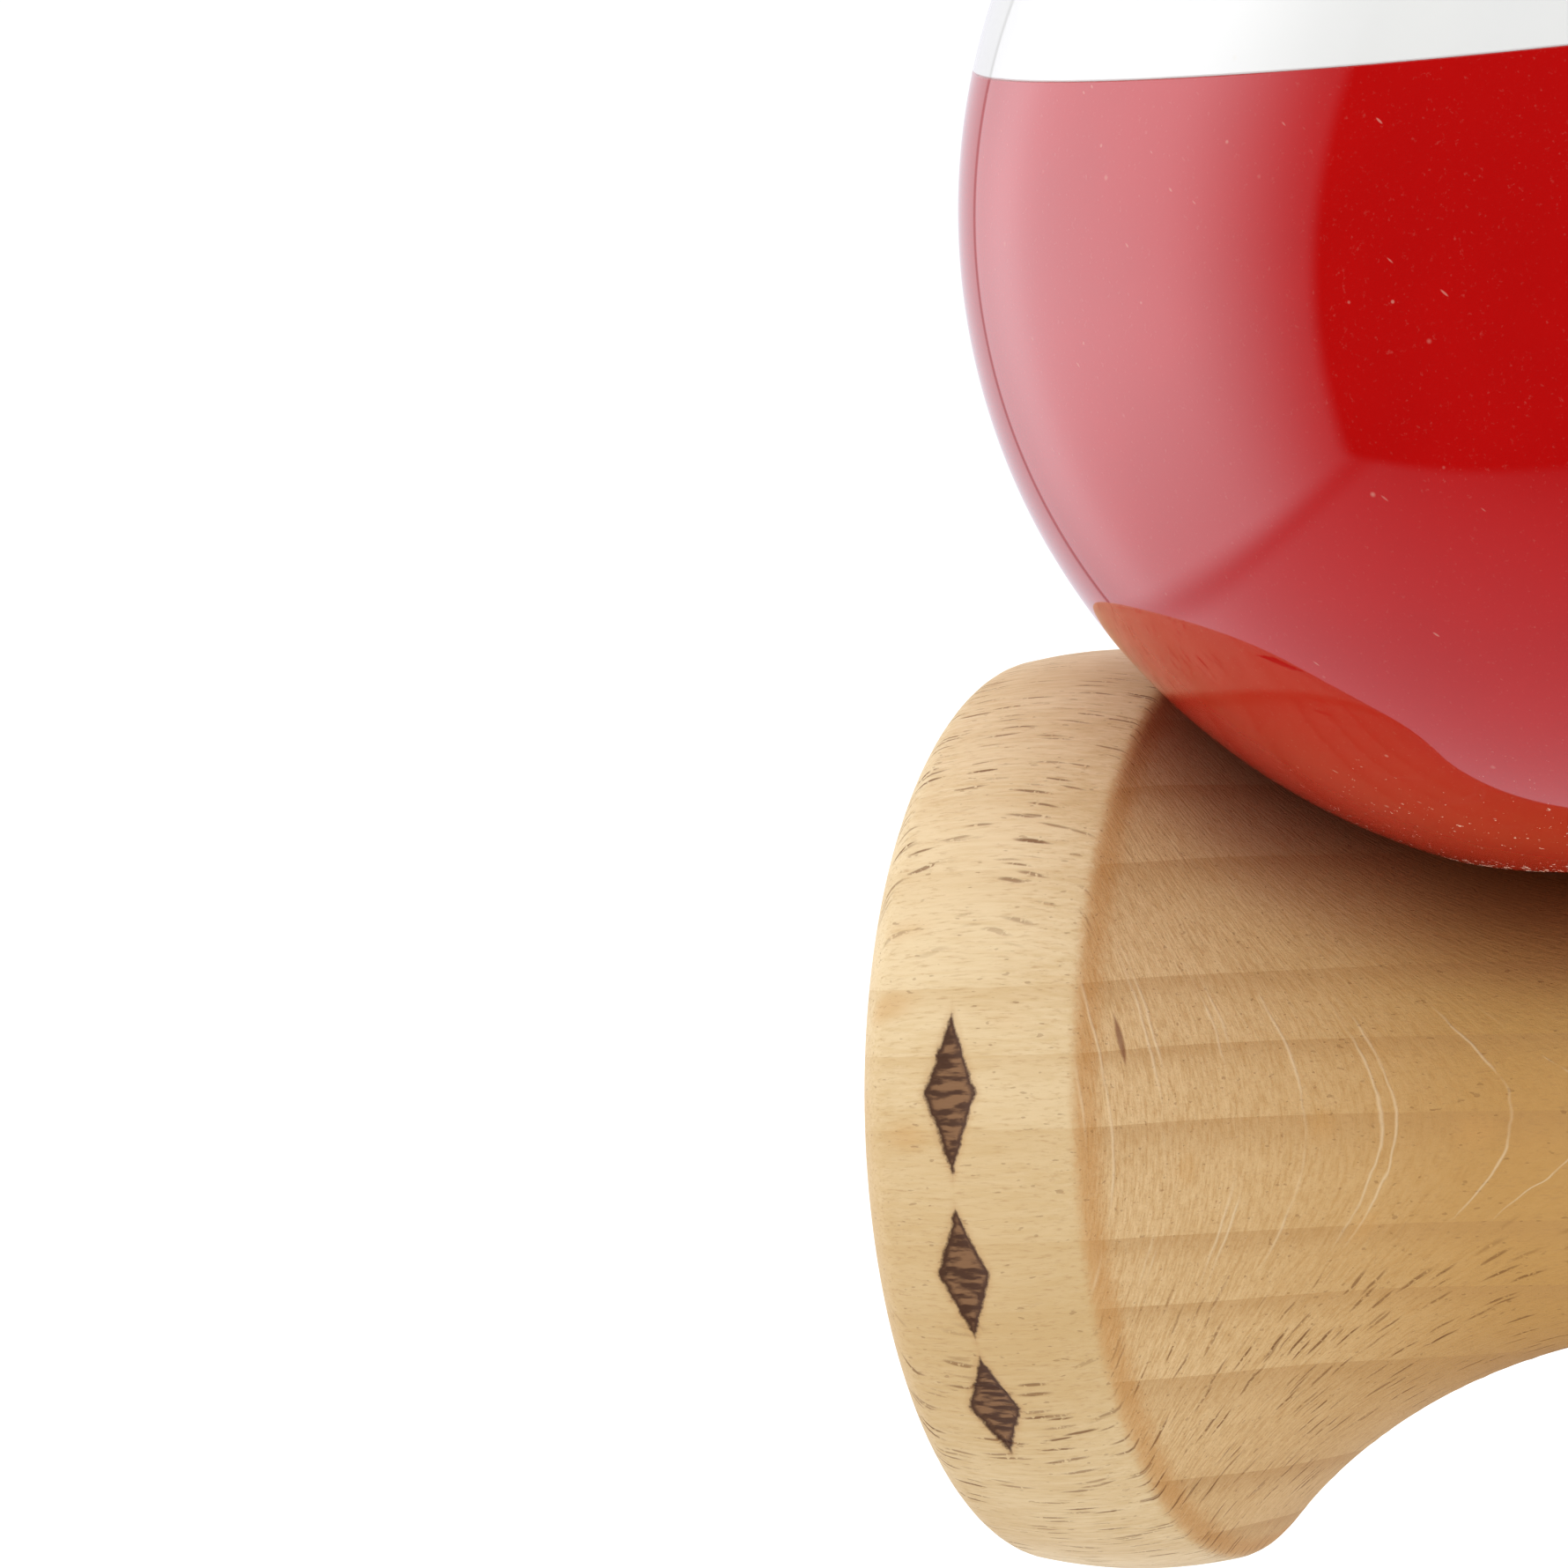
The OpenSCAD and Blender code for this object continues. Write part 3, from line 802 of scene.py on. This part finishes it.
def make_handle():
    """The handle, turned round Z: base cup, grip, taper and spike."""
    cup = cup_outline(GRIP_WAIST_R, BASE_RIDGE_R, GRIP_RIDGE_T, GRIP_WAIST_Z, BASE_ROUND, BASE_DEPTH, 0.35)
    base = [(r, GRIP_WAIST_Z - t) for r, t in reversed(cup)]
    grip = swell((GRIP_WAIST_R, GRIP_WAIST_Z), (BELLY_R, BELLY_Z), 0.6)
    neck = swell((BELLY_R, BELLY_Z), (TAPER_LOW_R, taper_low_z), 0.6)
    tip_z = spike_tip_z - TIP_R
    taper = straight((TAPER_LOW_R, taper_low_z), (SPIKE_ROOT_R, taper_high_z), 0.05)
    spike = straight((SPIKE_ROOT_R, taper_high_z), (TIP_R, tip_z), 0.02)
    tip = [(TIP_R * math.cos(a), tip_z + TIP_R * math.sin(a)) for a in spread(0, math.pi / 2, 0.12)]
    outline = softened(base + grip[1:] + neck[1:] + taper[1:] + spike[1:] + tip[1:], 1.4)
    chance = random.Random(9)
    ridges = [(chance.uniform(14, 34), chance.uniform(0.3, 0.9)) for _ in range(9)]
    ridges += [(chance.uniform(42, 96), chance.uniform(0.15, 0.6)) for _ in range(12)]
    piece = turned_piece("handle_turned", outline, Matrix(), handle_beech, steps=192, ridges=ridges,
                         ridge_height=0.03, wander=0.04)
    cut(piece, cord_cutter(8, handle_beech))
    return piece


def arc(radius, low, high, step):
    """Points (radius, along) on the ball, between two heights from its centre."""
    start, end = math.asin(low / radius), math.asin(high / radius)
    return [(radius * math.cos(a), radius * math.sin(a)) for a in spread(start, end, step / radius)]


def at_radius(sphere_r, r):
    """The height above the ball's centre at which the sphere has radius r."""
    return math.sqrt(sphere_r ** 2 - r ** 2)


def coat(name, outside, inside, finish, steps=256):
    """A coat of lacquer. outside and inside are its lower and upper edges, and the outer ones are eased."""
    low, high = outside
    outer = arc(BALL_R, low + COAT_EDGE, high - COAT_EDGE, 0.35)
    inner = arc(CORE_R, *inside, 0.8)
    # A step as wide as the ball leaves only the two edges, which then move in by the same amount
    shrink = 1 - COAT_EDGE / BALL_R
    low_edge, high_edge = [(r * shrink, h * shrink) for r, h in arc(BALL_R, low, high, BALL_R * 2)]
    points = outer + [high_edge] + list(reversed(inner)) + [low_edge]
    points.append(points[0])
    place = Matrix.Translation(ball_centre * MM)
    return turned_piece(name, points, place, finish, steps=steps)


def make_ball():
    """The ball: a beech core with its holes, and three coats of lacquer."""
    mouth_r = SPIKE_HOLE_R + MOUTH_BEVEL
    mouth = -at_radius(BALL_R, mouth_r)
    hole_end = mouth + SPIKE_HOLE_DEPTH
    core_mouth_r = mouth_r - CORE_MOUTH_STEP
    core_mouth = -at_radius(CORE_R, core_mouth_r)
    coat_top, core_top = (at_radius(sphere_r, BALL_CORD_HOLE_R) for sphere_r in (BALL_R, CORE_R))
    ease_r, ease_h = SPIKE_HOLE_R - HOLE_END_EASE, hole_end - HOLE_END_EASE
    outline = arc(CORE_R, core_mouth, core_top, 0.7)
    outline += [(BALL_CORD_HOLE_R, h) for h in spread(core_top, hole_end, 1.0)[1:]]
    outline += [(r, hole_end) for r in spread(BALL_CORD_HOLE_R, ease_r, 1.0)[1:]]
    outline += [(ease_r + HOLE_END_EASE * math.sin(a), ease_h + HOLE_END_EASE * math.cos(a))
                for a in spread(0, math.pi / 2, 0.4)[1:]]
    outline += [(SPIKE_HOLE_R, h) for h in spread(ease_h, mouth + MOUTH_BEVEL + 0.3, 1.0)[1:]]
    outline += [(r, mouth + mouth_r - r) for r in spread(SPIKE_HOLE_R + 0.2, core_mouth_r - 0.05, 0.3)]
    outline.append(outline[0])
    core = turned_piece("ball_core", outline, Matrix.Translation(ball_centre * MM), ball_beech, steps=192)
    coat_mouth = -at_radius(BALL_R, mouth_r + 0.05)
    lower = coat("lower_coat", (coat_mouth, stripe_low), (core_mouth, stripe_low), red_lacquer)
    stripe = coat("stripe_coat", (stripe_low, stripe_high), (stripe_low, stripe_high), white_lacquer)
    upper = coat("upper_coat", (stripe_high, coat_top), (stripe_high, core_top), red_lacquer)
    return core, lower, stripe, upper


def make_bead():
    """The string bead: a short barrel with eased ends."""
    half = (bead_high.z - bead_low.z) / 2
    radius = (bead_high.x - bead_low.x) / 2
    hole = BEAD_HOLE_R
    end_r = math.sqrt(radius ** 2 - half ** 2)
    side = [(math.sqrt(radius ** 2 - h ** 2), h) for h in spread(-half + 0.2, half - 0.2, 0.25)]
    top = [(end_r - 0.05, half - 0.05), (end_r - 0.3, half)]
    top += [(hole + 0.25, half), (hole + 0.08, half - 0.08)]
    bore = [(hole, h) for h in spread(half - 0.3, -half + 0.3, 0.6)]
    bottom = [(r, -h) for r, h in reversed(top)]
    outline = side + top + bore + bottom + side[:1]
    middle = Vector((0, 0, (bead_low.z + bead_high.z) / 2))
    place = Matrix.Translation(middle * MM)
    return turned_piece("string_bead_turned", outline, place, ball_beech, steps=96)


def place_piece(piece, body, node):
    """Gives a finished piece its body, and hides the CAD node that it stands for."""
    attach(piece, body)
    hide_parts(node)


place_piece(make_cross_piece(), "handle", "cross_piece")
place_piece(make_handle(), "handle", "handle")
core, lower, stripe, upper = make_ball()
place_piece(core, "ball", "ball")
place_piece(lower, "ball", "lower_lacquer")
place_piece(stripe, "ball", "stripe_lacquer")
place_piece(upper, "ball", "upper_lacquer")
place_piece(make_bead(), "bead", "string_bead")
